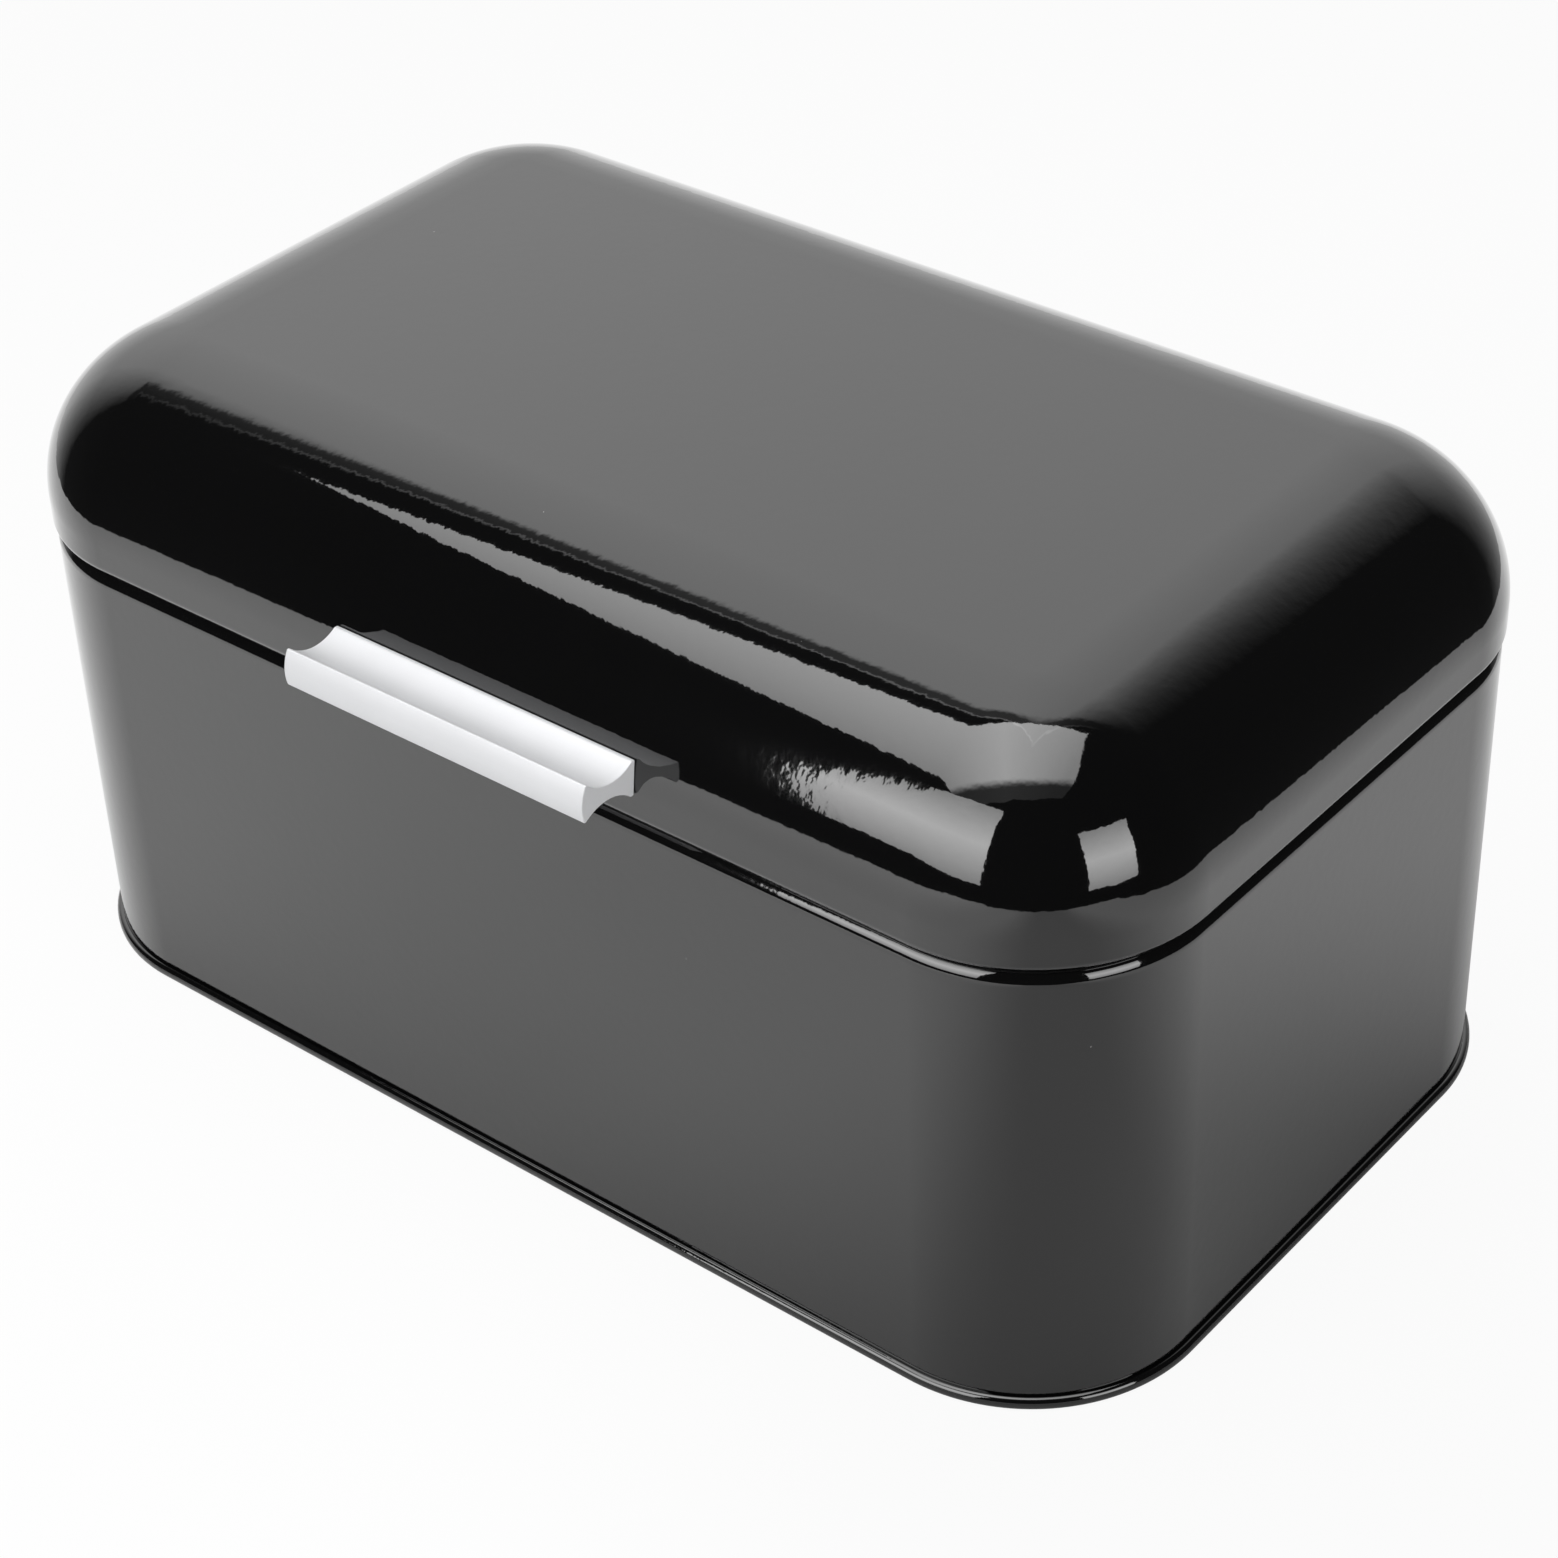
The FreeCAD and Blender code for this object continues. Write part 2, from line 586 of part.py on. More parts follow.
def main():
    os.makedirs("parts", exist_ok=True)
    for name, shape in make_nodes().items():
        print(f"{name}: {len(shape.Solids)} solid, valid {shape.isValid()}, {shape.Volume / 1000:.3f} cm3")
        shape.exportStep(f"parts/{name}.step")


main()
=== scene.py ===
import math

import bpy
from mathutils import Matrix, Vector


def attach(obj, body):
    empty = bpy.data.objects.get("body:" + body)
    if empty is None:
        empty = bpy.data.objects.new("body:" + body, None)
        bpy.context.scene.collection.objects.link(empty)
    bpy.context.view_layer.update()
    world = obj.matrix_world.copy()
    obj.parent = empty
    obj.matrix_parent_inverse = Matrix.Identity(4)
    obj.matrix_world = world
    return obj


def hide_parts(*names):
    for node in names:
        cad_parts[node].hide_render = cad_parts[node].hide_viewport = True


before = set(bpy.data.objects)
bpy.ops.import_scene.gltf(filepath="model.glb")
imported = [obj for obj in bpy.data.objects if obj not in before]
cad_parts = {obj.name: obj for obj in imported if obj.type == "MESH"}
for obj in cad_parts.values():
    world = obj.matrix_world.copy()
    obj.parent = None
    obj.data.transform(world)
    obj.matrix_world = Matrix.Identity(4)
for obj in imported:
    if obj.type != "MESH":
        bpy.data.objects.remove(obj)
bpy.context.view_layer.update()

MM = 0.001

# Points of a section that are this near, in millimetres, are one point
SAME_PLACE = 1e-6

# Sizes of the box in millimetres, as in the CAD source
CORNER_X = 110.0
CORNER_Y = 50.0
BODY_RADIUS = 40.0
WALL_GAUGE = 0.6
LID_GAUGE = 0.7
RIM_OVERHANG = 1.5
RIM_HEIGHT = 3.0
RIM_TOP_RADIUS = 1.35
RIM_FOOT_RADIUS = 1.35
PANEL_HEIGHT = 2.5
SEAM_CLEARANCE = 0.05
HOOK_THICKNESS = 0.5
HOOK_BEND_RADIUS = 0.5
HOOK_PLAY = 0.3
SHOULDER_RADIUS = 3.6
SHOULDER_Z = 108.0
LEDGE_Z = 111.6
NECK_INSET = 4.5
NECK_TOP_Z = 121.2
NECK_HEM_THICKNESS = 1.4
NECK_HEM_HEIGHT = 4.0
LID_RADIUS = 40.6
LID_EDGE_Z = 111.9
LID_EDGE_RADIUS = 2.0
LID_FLANGE_IN = 36.6
DOME_FOOT_Z = 119.0
DOME_REACH = 38.0
TOTAL_HEIGHT = 153.8

HANDLE_LENGTH = 80.6
HANDLE_OFFSET = 4.2
HANDLE_SEAT_Z = 122.9
HANDLE_DEPTH = 14.4
HANDLE_BACK_HEIGHT = 8.0
HANDLE_LIP_HEIGHT = 8.2
HANDLE_WAIST = 3.5
HANDLE_FRONT_BULGE = 0.9
HANDLE_BACK_FLAT = 0.9
HANDLE_LIP_FLAT = 0.5
HANDLE_SEAT_GAP = 0.05

# The pull's broken edges: width in millimetres, steps, and the least angle of an edge in degrees
EDGE_ROUND = 0.22
EDGE_STEPS = 3
EDGE_ANGLE = 35.0

# Fineness of the meshes
CORNER_STEPS = 40
LONG_SIDE_STEPS = 12
SHORT_SIDE_STEPS = 6
DOME_STEPS = 44
BEND_STEPS = 10
COVE_STEPS = 28
FLOOR_CORNER_STEPS = 12

# The finishes: noise scales are per metre, depths of relief are in metres, and colours are linear.
# Sizes of dust specks are in cells of their pattern.
NOISE_RANGE = (0.3, 0.7)
ENAMEL_IOR = 1.52
ENAMEL_DEEP = (0.0010, 0.0010, 0.0011, 1)
ENAMEL_HAZY = (0.0018, 0.0018, 0.0019, 1)
ENAMEL_ROUGHNESS = (0.035, 0.075)
COAT_ROUGHNESS = 0.02
HAZE_SCALE = 9.0
PEEL_SCALE = 400.0
PEEL_DEPTH = 0.000019
WAVE_SCALE = 38.0
WAVE_DEPTH = 0.00005
DUST_SCALE = 70.0
DUST_CHOICE = 0.72
DUST_SIZES = (0.006, 0.016)
DUST_COLOUR = (0.16, 0.16, 0.155, 1)
SATIN_DARK = (0.71, 0.715, 0.73, 1)
SATIN_LIGHT = (0.75, 0.755, 0.77, 1)
SATIN_ROUGHNESS = (0.52, 0.60)
SATIN_METALLIC = 0.4
SATIN_CLOUD_SCALE = 60.0
DRAWN_SCALES = (30.0, 2600.0, 2600.0)
DRAWN_DEPTH = 0.0000025
GRAIN_SCALE = 5200.0
GRAIN_DEPTH = 0.000004
SAWN_FACING = (0.80, 0.95)
SAWN_COLOUR = (0.84, 0.845, 0.86, 1)
SAWN_ROUGHNESS = 0.85
ZINC_DARK = (0.50, 0.505, 0.52, 1)
ZINC_LIGHT = (0.66, 0.665, 0.675, 1)
ZINC_ROUGHNESS = (0.22, 0.36)
ZINC_CLOUD_SCALE = 220.0
ROLLED_SCALES = (90.0, 3000.0, 3000.0)
ROLLED_DEPTH = 0.000003

# The photo's camera, in degrees, millimetres and pixels, and its near and far limits in metres
IMAGE_SIZE = 1558
CAMERA_AZIMUTH = 40.31
CAMERA_ELEVATION = 35.52
CAMERA_ROLL = -2.29
CAMERA_DISTANCE = 818.5
CAMERA_FOCUS = 3603.0
CAMERA_AIM_X = 3.39
CAMERA_AIM_Z = 51.48
CAMERA_NEAR = 0.01
CAMERA_FAR = 50.0
SENSOR_WIDTH = 36.0

# The white table top, in metres: along is toward the camera, and aside is to the camera's right
FLOOR_LEFT = -0.53
FLOOR_RIGHT = 0.44
FLOOR_FRONT = 0.72
FLOOR_BACK = -3.0
FLOOR_CORNER = 0.12
FLOOR_ROUGHNESS = 0.9
FLOOR_TONE = 0.70
# Painted light: the table top's colour is lighter far to the left, rising from the plain tone to this one
FLOOR_LEFT_PAINTED_LIGHT_TONE = 0.84
LEFT_NEAR = -0.15
LEFT_FAR = -0.40
# Painted shade: the table top's colour is darker, down to this tone, in a stripe from the box toward the
# camera
PAINTED_SHADE_TONE = 0.40
SHADE_ACROSS = 0.085
SHADE_CORE = 0.04
SHADE_HALF_WIDTH = 0.17
SHADE_START = -0.02
SHADE_FULL = 0.08

# How much of the table top is plain white to the camera, and in mirrors near the box and behind it
WHITE_SHARE = 0.94
MIRROR_SHARE = 0.05
MIRROR_SHARE_BEHIND = 0.85
BEHIND_NEAR = -0.03
BEHIND_FAR = -0.20

# The dark room, and the white backdrop behind on the left. Angles are in degrees, heights are sines of an
# elevation, and fades are cosines of an angle to the side.
ROOM_TONE = 0.028
SEEN_TONE = 0.98
BACKDROP_LOW_TONE = 0.66
BACKDROP_HIGH_TONE = 1.32
BACKDROP_LOW_ELEVATION = 16.0
BACKDROP_HIGH_ELEVATION = 64.0
BACKDROP_LEFT_AZIMUTH = -165.0
BACKDROP_LEFT_FADE = 0.44
BACKDROP_RIGHT_AZIMUTH = -117.0
BACKDROP_RIGHT_FADE = 0.55
BACKDROP_STEEP_LOW = 36.0
BACKDROP_STEEP_HIGH = 45.0
BACKDROP_STEEPNESS = (1.15, 2.0)
BACKDROP_BRIGHT_AZIMUTH = -112.0
BACKDROP_DIM_FACING = 0.37
BACKDROP_DIM_SHARE = 0.85
BACKDROP_BRIGHT_SHARE = 1.12
BACKDROP_TOP_AZIMUTH = -152.0
BACKDROP_TOP_HEIGHT = 0.531
BACKDROP_TOP_FALL = 0.424
BACKDROP_TOP_SOFT = 0.020
RAIL_RISE = 0.056
RAIL_HALF_HEIGHT = 0.009
RAIL_SHARE = 0.85
RAIL_BACK_SHARE = 0.13

# The soft boxes, in metres and degrees, placed where their mirror images in the lid come out right
FADE_TONE = 0.06
TRIM_SOFT = 0.006
SOFT_BOXES = {
    "overhead_box": {
        "centre": (0.1442, -0.3606, 1.1039),
        "azimuth": 58.7,
        "elevation": 117.86,
        "turn": -29.26,
        "size": (1.2700, 1.0495),
        "tones": (3.8, 2.2),
        "across": "X",
        "peak": 0.449,
        "fade": (0.277, 0.437),
        "trim": (0.2665, 1.1034),
    },
    "front_box": {
        "centre": (-0.192, -1.176, 0.712),
        "azimuth": 7.63,
        "elevation": 19.52,
        "turn": -2.78,
        "size": (1.041, 1.080),
        "tones": (4.7, 2.3),
        "across": "Y",
    },
    "right_box": {
        "centre": (1.240, -0.275, 0.458),
        "azimuth": 70.11,
        "elevation": 15.42,
        "turn": -2.03,
        "size": (0.582, 0.765),
        "tones": (4.3, 2.2),
        "across": "Y",
    },
}


def line(start, end):
    """A straight run of a section. Sections go anticlockwise, so that outside is on the right."""
    run = (end[0] - start[0], end[1] - start[1])
    size = math.hypot(*run)
    normal = (run[1] / size, -run[0] / size)
    return [(start, normal), (end, normal)]


def bend(centre, reach, rise, start_deg, end_deg, steps):
    """A run along a circle or ellipse, anticlockwise where convex and clockwise where hollow."""
    sign = 1 if end_deg > start_deg else -1
    run = []
    for i in range(steps + 1):
        angle = math.radians(start_deg + (end_deg - start_deg) * i / steps)
        point = (centre[0] + reach * math.cos(angle), centre[1] + rise * math.sin(angle))
        slope = (math.cos(angle) / reach, math.sin(angle) / rise)
        size = math.hypot(*slope)
        run.append((point, (sign * slope[0] / size, sign * slope[1] / size)))
    return run


def section_segments(runs, closed):
    """The points of a section, and its segments as (point, point, normal at each)."""
    points = []
    segments = []
    for run in runs:
        for k, (point, normal) in enumerate(run):
            if not points or math.dist(points[-1], point) > SAME_PLACE:
                points.append(point)
            if k:
                segments.append((len(points) - 2, len(points) - 1, run[k - 1][1], normal))
    if closed:
        points.pop()
        last = segments[-1]
        segments[-1] = (last[0], 0, last[2], last[3])
    return points, segments


def plan_stations():
    """Stations round the rounded plan, anticlockwise from above.

    Each is a corner's axis or a place between two of them, and the way out from there.
    """
    stations = []
    corners = [(1, 1), (-1, 1), (-1, -1), (1, -1)]
    for i, (sx, sy) in enumerate(corners):
        for k in range(CORNER_STEPS + 1):
            angle = math.radians(90 * i + 90 * k / CORNER_STEPS)
            stations.append((sx * CORNER_X, sy * CORNER_Y, math.cos(angle), math.sin(angle)))
        nx, ny = corners[(i + 1) % 4]
        steps = LONG_SIDE_STEPS if i % 2 == 0 else SHORT_SIDE_STEPS
        angle = math.radians(90 * (i + 1))
        for k in range(1, steps):
            share = k / steps
            x = CORNER_X * (sx + (nx - sx) * share)
            y = CORNER_Y * (sy + (ny - sy) * share)
            stations.append((x, y, math.cos(angle), math.sin(angle)))
    return stations


def new_object(name, data):
    """A new object in the scene."""
    made = bpy.data.objects.new(name, data)
    bpy.context.scene.collection.objects.link(made)
    return made


def new_piece(name, points, faces, normals):
    """A mesh object in metres, smooth, with the exact normal at each corner of each face."""
    mesh = bpy.data.meshes.new(name)
    mesh.from_pydata([Vector(p) * MM for p in points], [], faces)
    mesh.polygons.foreach_set("use_smooth", [True] * len(faces))
    mesh.normals_split_custom_set([Vector(n) for face in normals for n in face])
    return new_object(name, mesh)


def carried_round(name, runs, closed):
    """A sheet piece: its section carried round the plan. Flat faces close an open section's two ends."""
    points, segments = section_segments(runs, closed)
    stations = plan_stations()
    count = len(points)
    spots = []
    for x, y, dx, dy in stations:
        spots += [(x + dx * out, y + dy * out, up) for out, up in points]
    faces = []
    normals = []
    for i, here in enumerate(stations):
        after = (i + 1) % len(stations)
        there = stations[after]
        for a, b, na, nb in segments:
            faces.append((i * count + a, after * count + a, after * count + b, i * count + b))
            normals.append(
                [
                    (here[2] * na[0], here[3] * na[0], na[1]),
                    (there[2] * na[0], there[3] * na[0], na[1]),
                    (there[2] * nb[0], there[3] * nb[0], nb[1]),
                    (here[2] * nb[0], here[3] * nb[0], nb[1]),
                ]
            )
    if not closed:
        rings = range(len(stations))
        faces.append(tuple(i * count + count - 1 for i in rings))
        normals.append([(0, 0, 1)] * len(stations))
        faces.append(tuple(i * count for i in reversed(rings)))
        normals.append([(0, 0, -1)] * len(stations))
    return new_piece(name, spots, faces, normals)


def make_wall():
    """The wrapped wall: hook at the foot, upright wall, rounded shoulder, ledge, neck and hem."""
    outer = BODY_RADIUS
    foot = WALL_GAUGE + SEAM_CLEARANCE
    hook_out = outer + RIM_OVERHANG - WALL_GAUGE - HOOK_PLAY
    hook_top = RIM_HEIGHT - WALL_GAUGE - HOOK_PLAY
    hook_in = hook_out - HOOK_THICKNESS
    hook_centre = (hook_out - HOOK_BEND_RADIUS, foot + HOOK_BEND_RADIUS)
    shoulder_in = outer - SHOULDER_RADIUS
    neck_out = outer - NECK_INSET
    neck_in = neck_out - WALL_GAUGE
    hem_round = NECK_HEM_THICKNESS / 2
    hem_in = neck_out - NECK_HEM_THICKNESS
    hem_low = NECK_TOP_Z - NECK_HEM_HEIGHT
    under = LEDGE_Z - WALL_GAUGE
    centre = (shoulder_in, SHOULDER_Z)
    inner_bend = SHOULDER_RADIUS - WALL_GAUGE
    inside = outer - WALL_GAUGE
    runs = [
        line((inside, foot), (hook_centre[0], foot)),
        bend(hook_centre, HOOK_BEND_RADIUS, HOOK_BEND_RADIUS, -90, 0, BEND_STEPS),
        line((hook_out, hook_centre[1]), (hook_out, hook_top)),
        line((hook_out, hook_top), (hook_in, hook_top)),
        line((hook_in, hook_top), (hook_in, foot + WALL_GAUGE)),
        line((hook_in, foot + WALL_GAUGE), (outer, foot + WALL_GAUGE)),
        line((outer, foot + WALL_GAUGE), (outer, SHOULDER_Z)),
        bend(centre, SHOULDER_RADIUS, SHOULDER_RADIUS, 0, 90, BEND_STEPS),
        line((shoulder_in, LEDGE_Z), (neck_out, LEDGE_Z)),
        line((neck_out, LEDGE_Z), (neck_out, NECK_TOP_Z - hem_round)),
        bend((neck_out - hem_round, NECK_TOP_Z - hem_round), hem_round, hem_round, 0, 180, BEND_STEPS),
        line((hem_in, NECK_TOP_Z - hem_round), (hem_in, hem_low)),
        line((hem_in, hem_low), (neck_in, hem_low)),
        line((neck_in, hem_low), (neck_in, under)),
        line((neck_in, under), (shoulder_in, under)),
        bend(centre, inner_bend, inner_bend, 90, 0, BEND_STEPS),
        line((inside, SHOULDER_Z), (inside, foot)),
    ]
    return carried_round("enamel_wall", runs, True)


def make_base():
    """The pressed base: a raised panel and a rim folded round the wall's hook."""
    outer = BODY_RADIUS + RIM_OVERHANG
    upstand_out = BODY_RADIUS - WALL_GAUGE - SEAM_CLEARANCE
    upstand_in = upstand_out - WALL_GAUGE
    lip_in = BODY_RADIUS + SEAM_CLEARANCE
    panel_low = PANEL_HEIGHT - WALL_GAUGE
    rim_under = RIM_HEIGHT - WALL_GAUGE
    foot_centre = (outer - RIM_FOOT_RADIUS, RIM_FOOT_RADIUS)
    top_centre = (outer - RIM_TOP_RADIUS, RIM_HEIGHT - RIM_TOP_RADIUS)
    pocket = outer - WALL_GAUGE
    inner_top = RIM_TOP_RADIUS - WALL_GAUGE
    inner_foot = RIM_FOOT_RADIUS - WALL_GAUGE
    runs = [
        line((upstand_in, panel_low), (upstand_in, 0)),
        line((upstand_in, 0), (foot_centre[0], 0)),
        bend(foot_centre, RIM_FOOT_RADIUS, RIM_FOOT_RADIUS, -90, 0, BEND_STEPS),
        line((outer, foot_centre[1]), (outer, top_centre[1])),
        bend(top_centre, RIM_TOP_RADIUS, RIM_TOP_RADIUS, 0, 90, BEND_STEPS),
        line((top_centre[0], RIM_HEIGHT), (lip_in, RIM_HEIGHT)),
        line((lip_in, RIM_HEIGHT), (lip_in, rim_under)),
        line((lip_in, rim_under), (top_centre[0], rim_under)),
        bend(top_centre, inner_top, inner_top, 90, 0, BEND_STEPS),
        line((pocket, top_centre[1]), (pocket, foot_centre[1])),
        bend(foot_centre, inner_foot, inner_foot, 0, -90, BEND_STEPS),
        line((foot_centre[0], WALL_GAUGE), (upstand_out, WALL_GAUGE)),
        line((upstand_out, WALL_GAUGE), (upstand_out, PANEL_HEIGHT)),
    ]
    return carried_round("enamel_base", runs, False)


def make_lid():
    """The drawn lid: flat top, elliptical rounding, short skirt, and a flange turned in at its edge."""
    inner = LID_RADIUS - LID_GAUGE
    flat = LID_RADIUS - DOME_REACH
    rise = TOTAL_HEIGHT - DOME_FOOT_Z
    low = LID_EDGE_Z
    flange_top = low + LID_GAUGE
    edge_centre = (LID_RADIUS - LID_EDGE_RADIUS, low + LID_EDGE_RADIUS)
    inner_edge = LID_EDGE_RADIUS - LID_GAUGE
    dome_centre = (flat, DOME_FOOT_Z)
    runs = [
        bend(dome_centre, DOME_REACH - LID_GAUGE, rise - LID_GAUGE, 90, 0, DOME_STEPS),
        line((inner, DOME_FOOT_Z), (inner, edge_centre[1])),
        bend(edge_centre, inner_edge, inner_edge, 0, -90, BEND_STEPS),
        line((edge_centre[0], flange_top), (LID_FLANGE_IN, flange_top)),
        line((LID_FLANGE_IN, flange_top), (LID_FLANGE_IN, low)),
        line((LID_FLANGE_IN, low), (edge_centre[0], low)),
        bend(edge_centre, LID_EDGE_RADIUS, LID_EDGE_RADIUS, -90, 0, BEND_STEPS),
        line((LID_RADIUS, edge_centre[1]), (LID_RADIUS, DOME_FOOT_Z)),
        bend(dome_centre, DOME_REACH, rise, 0, 90, DOME_STEPS),
    ]
    return carried_round("enamel_lid", runs, False)


def three_point_circle(a, b, c):
    """Centre and radius of the circle through three points."""
    d = 2 * (a[0] * (b[1] - c[1]) + b[0] * (c[1] - a[1]) + c[0] * (a[1] - b[1]))
    sa, sb, sc = (p[0] ** 2 + p[1] ** 2 for p in (a, b, c))
    x = (sa * (b[1] - c[1]) + sb * (c[1] - a[1]) + sc * (a[1] - b[1])) / d
    y = (sa * (c[0] - b[0]) + sb * (a[0] - c[0]) + sc * (b[0] - a[0])) / d
    return (x, y), math.dist((x, y), a)


def arc_through(a, b, c, steps):
    """A run along the arc from a through b to c."""
    centre, radius = three_point_circle(a, b, c)
    start = math.degrees(math.atan2(a[1] - centre[1], a[0] - centre[0]))
    end = math.degrees(math.atan2(c[1] - centre[1], c[0] - centre[0]))
    turn = (b[0] - a[0]) * (c[1] - a[1]) - (b[1] - a[1]) * (c[0] - a[0])
    while turn > 0 and end < start:
        end += 360
    while turn < 0 and end > start:
        end -= 360
    return bend(centre, radius, radius, start, end, steps)


def handle_seat():
    """Where the handle's back touches the lid, and the lid's outward direction there."""
    dome_rise = TOTAL_HEIGHT - DOME_FOOT_Z
    rise = (HANDLE_SEAT_Z - DOME_FOOT_Z) / dome_rise
    run = math.sqrt(1 - rise * rise)
    out = CORNER_Y + LID_RADIUS - DOME_REACH + DOME_REACH * run
    outward = Vector((0, -run / DOME_REACH, rise / dome_rise)).normalized()
    return Vector((0, -out, HANDLE_SEAT_Z)), outward


def make_handle():
    """The extruded pull: a cove above and below, a bowed lip, and edges broken all round."""
    back = HANDLE_BACK_HEIGHT / 2
    lip = HANDLE_LIP_HEIGHT / 2
    waist = HANDLE_WAIST / 2
    middle = HANDLE_DEPTH / 2
    lip_start = HANDLE_DEPTH - HANDLE_LIP_FLAT
    front = HANDLE_DEPTH + HANDLE_FRONT_BULGE
    runs = [
        line((0, -back), (HANDLE_BACK_FLAT, -back)),
        arc_through((HANDLE_BACK_FLAT, -back), (middle, -waist), (lip_start, -lip), COVE_STEPS),
        line((lip_start, -lip), (HANDLE_DEPTH, -lip)),
        arc_through((HANDLE_DEPTH, -lip), (front, 0), (HANDLE_DEPTH, lip), BEND_STEPS),
        line((HANDLE_DEPTH, lip), (lip_start, lip)),
        arc_through((lip_start, lip), (middle, waist), (HANDLE_BACK_FLAT, back), COVE_STEPS),
        line((HANDLE_BACK_FLAT, back), (0, back)),
        line((0, back), (0, -back)),
    ]
    points, segments = section_segments(runs, True)
    seat, outward = handle_seat()
    seat = seat + outward * HANDLE_SEAT_GAP
    along = Vector((1, 0, 0))
    rise = outward.cross(along)
    ends = (HANDLE_OFFSET - HANDLE_LENGTH / 2, HANDLE_OFFSET + HANDLE_LENGTH / 2)
    count = len(points)
    spots = [seat + outward * out + rise * up + along * x for x in ends for out, up in points]
    faces = []
    normals = []
    for a, b, na, nb in segments:
        faces.append((b, a, count + a, count + b))
        first = outward * na[0] + rise * na[1]
        second = outward * nb[0] + rise * nb[1]
        normals.append([second, first, first, second])
    faces.append(tuple(range(count)))
    normals.append([-along] * count)
    faces.append(tuple(reversed(range(count, 2 * count))))
    normals.append([along] * count)
    piece = new_piece("pull_bar", spots, faces, normals)
    edge = piece.modifiers.new("broken_edges", "BEVEL")
    edge.width = EDGE_ROUND * MM
    edge.segments = EDGE_STEPS
    edge.limit_method = "ANGLE"
    edge.angle_limit = math.radians(EDGE_ANGLE)
    edge.harden_normals = True
    return piece


class Graph:
    """A short way to write a node tree."""

    # The sockets of a mix node that serve colours
    MIX_SHARE, MIX_FIRST, MIX_SECOND, MIX_RESULT = 0, 6, 7, 2

    def __init__(self, tree):
        self.tree = tree

    def node(self, kind, settings=None, **inputs):
        """A node with its settings, and inputs by name: a socket is linked, and a value is set."""
        made = self.tree.nodes.new("ShaderNode" + kind)
        for key, value in (settings or {}).items():
            setattr(made, key, value)
        for key, value in inputs.items():
            self.feed(made.inputs[key], value)
        return made

    def feed(self, socket, value):
        """Links an input to the socket that feeds it, or sets the input's value."""
        if isinstance(value, bpy.types.NodeSocket):
            self.tree.links.new(value, socket)
        else:
            socket.default_value = value

    def maths(self, operation, *values):
        """The result of a maths node."""
        made = self.node("Math", {"operation": operation})
        for socket, value in zip(made.inputs, values):
            self.feed(socket, value)
        return made.outputs[0]

    def vector(self, operation, *values):
        """A vector maths node."""
        made = self.node("VectorMath", {"operation": operation})
        for socket, value in zip(made.inputs, values):
            self.feed(socket, value)
        return made

    def noise(self, vector, scale, detail, roughness):
        """The grey value of a noise texture."""
        made = self.node("TexNoise", Vector=vector, Scale=scale, Detail=detail, Roughness=roughness)
        return made.outputs[0]

    def relief(self, height, depth, under=None):
        """The normals of a surface with a relief, on top of another relief if there is one."""
        made = self.node("Bump", Strength=1.0, Distance=depth, Height=height)
        if under is not None:
            self.feed(made.inputs["Normal"], under)
        return made.outputs[0]

    def ramp(self, value, low, high, to_low, to_high, kind="LINEAR"):
        """A value taken from one range to another and kept inside it."""
        made = self.node("MapRange", {"interpolation_type": kind})
        keys = ("Value", "From Min", "From Max", "To Min", "To Max")
        for key, number in zip(keys, (value, low, high, to_low, to_high)):
            self.feed(made.inputs[key], number)
        return made.outputs[0]

    def mix(self, share, first, second):
        """A colour between two colours."""
        made = self.node("Mix", {"data_type": "RGBA"})
        self.feed(made.inputs[self.MIX_SHARE], share)
        self.feed(made.inputs[self.MIX_FIRST], first)
        self.feed(made.inputs[self.MIX_SECOND], second)
        return made.outputs[self.MIX_RESULT]

    def seen(self):
        """1 for what the camera sees, straight or through something clear, and 0 for other rays."""
        path = self.node("LightPath")
        return self.maths("MAXIMUM", path.outputs["Is Camera Ray"], path.outputs["Is Transmission Ray"])


def new_material(name):
    """A material with its graph, its principled shader and the object-space coordinates in metres."""
    material = bpy.data.materials.new(name)
    material.use_nodes = True
    graph = Graph(material.node_tree)
    shader = material.node_tree.nodes["Principled BSDF"]
    place = graph.node("TexCoord").outputs["Object"]
    return material, graph, shader, place


def enamel_material():
    """Gloss black enamel: two clear layers, orange peel, a soft wave in the sheet and some dust."""
    material, graph, shader, place = new_material("gloss_black_enamel")
    peel = graph.noise(place, PEEL_SCALE, detail=2.0, roughness=0.45)
    wave = graph.noise(place, WAVE_SCALE, detail=1.0, roughness=0.4)
    normal = graph.relief(wave, WAVE_DEPTH, graph.relief(peel, PEEL_DEPTH))
    cells = graph.node("TexVoronoi", {"feature": "F1"}, Vector=place, Scale=DUST_SCALE, Randomness=1.0)
    split = graph.node("SeparateColor", Color=cells.outputs["Color"])
    chosen = graph.maths("GREATER_THAN", split.outputs[0], DUST_CHOICE)
    size = graph.ramp(split.outputs[1], 0.0, 1.0, *DUST_SIZES)
    speck = graph.maths("MULTIPLY", graph.maths("LESS_THAN", cells.outputs["Distance"], size), chosen)
    haze = graph.noise(place, HAZE_SCALE, detail=3.0, roughness=0.55)
    clean = graph.mix(haze, ENAMEL_DEEP, ENAMEL_HAZY)
    graph.feed(shader.inputs["Base Color"], graph.mix(speck, clean, DUST_COLOUR))
    graph.feed(shader.inputs["Roughness"], graph.ramp(haze, *NOISE_RANGE, *ENAMEL_ROUGHNESS))
    shader.inputs["IOR"].default_value = ENAMEL_IOR
    shader.inputs["Coat Weight"].default_value = 1.0
    shader.inputs["Coat IOR"].default_value = ENAMEL_IOR
    shader.inputs["Coat Roughness"].default_value = COAT_ROUGHNESS
    graph.feed(shader.inputs["Normal"], normal)
    graph.feed(shader.inputs["Coat Normal"], normal)
    return material


